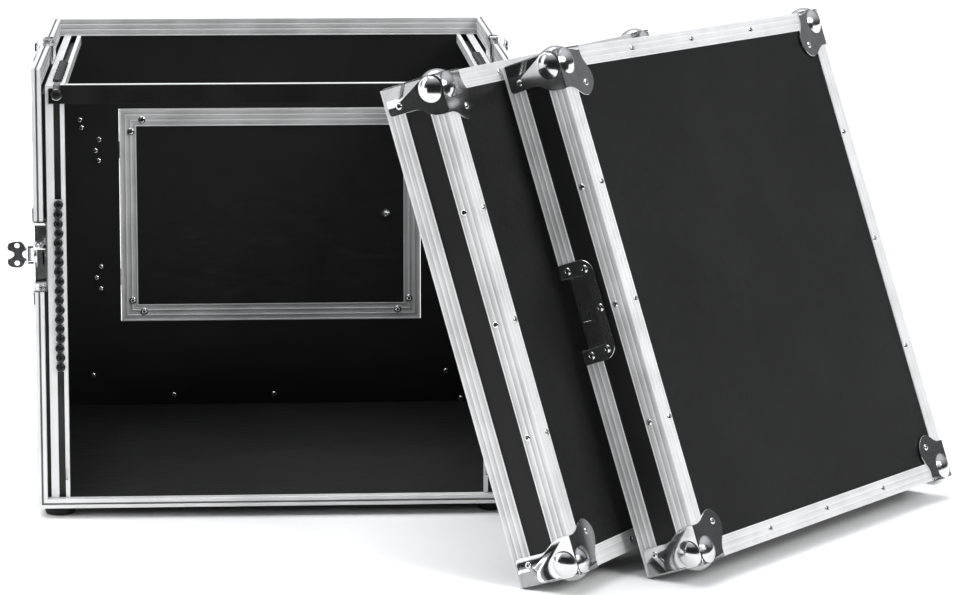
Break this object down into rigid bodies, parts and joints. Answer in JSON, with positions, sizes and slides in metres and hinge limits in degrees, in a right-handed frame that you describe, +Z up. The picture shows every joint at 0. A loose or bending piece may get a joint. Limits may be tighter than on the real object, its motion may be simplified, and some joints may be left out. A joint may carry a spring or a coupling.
{
  "type": "equipment rack case",
  "caption": "Open-fronted rack case of black plywood and aluminium edging with top and front rack rails, butterfly latches, a rear access door and two lift-off covers.",
  "frame": {"origin": "middle of the underside of the case's bottom panel", "axes": "+X to the viewer's right facing the open front, +Y to the rear, +Z up; the open front faces -Y and the covers stand beside the case on the same floor"},
  "size_m": [1.036, 0.9247, 0.534],
  "materials": {
    "black_laminate": "satin phenolic film on plywood",
    "aluminium_extrusion": "natural anodised, drawn",
    "black_fasteners": "black zinc",
    "black_bar": "gloss black powder coat",
    "foot_rubber": "matt black",
    "black_dish": "black powder coat",
    "zinc_plated": "bright zinc plate"
  },
  "bodies": {
    "case": {"bottom_panel": "black_laminate", "cross_bar": "black_bar", "cross_bar_screw_left": "black_fasteners", "cross_bar_screw_right": "black_fasteners", "door_catch_bracket": "zinc_plated", "door_hinge_lower": "zinc_plated", "door_hinge_upper": "zinc_plated", "edge_angles": "aluminium_extrusion", "foot_front_left": "foot_rubber", "foot_front_right": "foot_rubber", "foot_rear_left": "foot_rubber", "foot_rear_right": "foot_rubber", "frame_corner_left": "aluminium_extrusion", "frame_corner_right": "aluminium_extrusion", "frame_lower_front": "aluminium_extrusion", "frame_upper_rear": "aluminium_extrusion", "front_rail_left": "aluminium_extrusion", "front_rail_right": "aluminium_extrusion", "handle_pocket_left": "black_dish", "handle_pocket_right": "black_dish", "latch_dish_front_left": "zinc_plated", "latch_dish_front_right": "zinc_plated", "latch_dish_top_left": "zinc_plated", "latch_dish_top_right": "zinc_plated", "left_panel": "black_laminate", "rear_panel": "black_laminate", "right_panel": "black_laminate", "top_rail_left": "aluminium_extrusion", "top_rail_right": "aluminium_extrusion"},
    "rotor_front_left": {"latch_rotor_front_left": "zinc_plated"},
    "wing_front_left": {"latch_wing_front_left": "zinc_plated"},
    "hook_front_left": {"latch_hook_front_left": "zinc_plated"},
    "rotor_top_left": {"latch_rotor_top_left": "zinc_plated"},
    "wing_top_left": {"latch_wing_top_left": "zinc_plated"},
    "hook_top_left": {"latch_hook_top_left": "zinc_plated"},
    "rotor_front_right": {"latch_rotor_front_right": "zinc_plated"},
    "wing_front_right": {"latch_wing_front_right": "zinc_plated"},
    "hook_front_right": {"latch_hook_front_right": "zinc_plated"},
    "rotor_top_right": {"latch_rotor_top_right": "zinc_plated"},
    "wing_top_right": {"latch_wing_top_right": "zinc_plated"},
    "hook_top_right": {"latch_hook_top_right": "zinc_plated"},
    "door": {"door_frame": "aluminium_extrusion", "door_panel": "black_laminate"},
    "door_catch": {"door_catch": "zinc_plated"},
    "bail_left": {"handle_bail_left": "zinc_plated"},
    "bail_right": {"handle_bail_right": "zinc_plated"},
    "front_screw_row_left": {"front_nuts_left": "black_fasteners"},
    "top_screw_row_left": {"top_nuts_left": "black_fasteners"},
    "front_screw_row_right": {"front_nuts_right": "black_fasteners"},
    "top_screw_row_right": {"top_nuts_right": "black_fasteners"},
    "front_cover": {"front_cover_face": "black_laminate", "front_cover_frame": "aluminium_extrusion", "front_cover_keeper_lower": "zinc_plated", "front_cover_keeper_upper": "zinc_plated", "front_cover_walls": "black_laminate"},
    "top_cover": {"top_cover_face": "black_laminate", "top_cover_frame": "aluminium_extrusion", "top_cover_keeper_far": "zinc_plated", "top_cover_keeper_near": "zinc_plated", "top_cover_walls": "black_laminate"}
  },
  "joints": [
    {"name": "latch_turn_front_left", "type": "hinge", "parent": "case", "child": "rotor_front_left", "pos_m": [-0.2585, -0.25, 0.274], "axis": [-1, 0, 0], "range_deg": [0, 180]},
    {"name": "wing_fold_front_left", "type": "hinge", "parent": "rotor_front_left", "child": "wing_front_left", "pos_m": [-0.265, -0.25, 0.274], "axis": [0, 0, -1], "range_deg": [-90, 90]},
    {"name": "hook_slide_front_left", "type": "slide", "parent": "case", "child": "hook_front_left", "axis": [0, -1, 0], "range_m": [0, 0.006]},
    {"name": "latch_turn_top_left", "type": "hinge", "parent": "case", "child": "rotor_top_left", "pos_m": [-0.2585, -0.007, 0.4575], "axis": [-1, 0, 0], "range_deg": [0, 180]},
    {"name": "wing_fold_top_left", "type": "hinge", "parent": "rotor_top_left", "child": "wing_top_left", "pos_m": [-0.265, -0.007, 0.4575], "axis": [0, -1, 0], "range_deg": [0, 180]},
    {"name": "hook_slide_top_left", "type": "slide", "parent": "case", "child": "hook_top_left", "axis": [0, 0, 1], "range_m": [0, 0.006]},
    {"name": "latch_turn_front_right", "type": "hinge", "parent": "case", "child": "rotor_front_right", "pos_m": [0.2585, -0.25, 0.274], "axis": [1, 0, 0], "range_deg": [0, 180]},
    {"name": "wing_fold_front_right", "type": "hinge", "parent": "rotor_front_right", "child": "wing_front_right", "pos_m": [0.265, -0.25, 0.274], "axis": [0, 0, 1], "range_deg": [-90, 90]},
    {"name": "hook_slide_front_right", "type": "slide", "parent": "case", "child": "hook_front_right", "axis": [0, -1, 0], "range_m": [0, 0.006]},
    {"name": "latch_turn_top_right", "type": "hinge", "parent": "case", "child": "rotor_top_right", "pos_m": [0.2585, -0.007, 0.4575], "axis": [1, 0, 0], "range_deg": [0, 180]},
    {"name": "wing_fold_top_right", "type": "hinge", "parent": "rotor_top_right", "child": "wing_top_right", "pos_m": [0.265, -0.007, 0.4575], "axis": [0, 1, 0], "range_deg": [0, 180]},
    {"name": "hook_slide_top_right", "type": "slide", "parent": "case", "child": "hook_top_right", "axis": [0, 0, 1], "range_m": [0, 0.006]},
    {"name": "door_swing", "type": "hinge", "parent": "case", "child": "door", "pos_m": [-0.1855, 0.272, 0.24], "axis": [0, 0, 1], "range_deg": [0, 110]},
    {"name": "door_catch_turn", "type": "hinge", "parent": "door", "child": "door_catch", "pos_m": [0.139, 0.2675, 0.24], "axis": [0, 1, 0], "range_deg": [-90, 0]},
    {"name": "handle_lift_left", "type": "hinge", "parent": "case", "child": "bail_left", "pos_m": [-0.2515, 0, 0.292], "axis": [0, 1, 0], "range_deg": [0, 90], "stiffness_Nm_per_rad": 0.1, "springref_deg": -17.19},
    {"name": "handle_lift_right", "type": "hinge", "parent": "case", "child": "bail_right", "pos_m": [0.2515, 0, 0.292], "axis": [0, -1, 0], "range_deg": [0, 90], "stiffness_Nm_per_rad": 0.1, "springref_deg": -17.19},
    {"name": "front_screw_row_slide_left", "type": "slide", "parent": "case", "child": "front_screw_row_left", "axis": [0, 0, 1], "range_m": [-0.1, 0.09]},
    {"name": "top_screw_row_slide_left", "type": "slide", "parent": "case", "child": "top_screw_row_left", "axis": [0, 1, 0], "range_m": [-0.015, 0.28]},
    {"name": "front_screw_row_slide_right", "type": "slide", "parent": "case", "child": "front_screw_row_right", "axis": [0, 0, 1], "range_m": [-0.1, 0.09]},
    {"name": "top_screw_row_slide_right", "type": "slide", "parent": "case", "child": "top_screw_row_right", "axis": [0, 1, 0], "range_m": [-0.08, 0.22]},
    {"name": "front_cover_lift", "type": "slide", "parent": "case", "child": "front_cover", "axis": [0.8092, -0.4998, 0.309], "range_m": [0, 0.35]},
    {"name": "top_cover_lift", "type": "slide", "parent": "front_cover", "child": "top_cover", "axis": [0.7322, -0.5908, 0.3387], "range_m": [0, 0.35]}
  ],
  "couplings": [
    {"joint": "hook_slide_front_left", "follows": "latch_turn_front_left", "m_per_rad": 0.001878},
    {"joint": "hook_slide_top_left", "follows": "latch_turn_top_left", "m_per_rad": 0.001878},
    {"joint": "hook_slide_front_right", "follows": "latch_turn_front_right", "m_per_rad": 0.001878},
    {"joint": "hook_slide_top_right", "follows": "latch_turn_top_right", "m_per_rad": 0.001878}
  ]
}
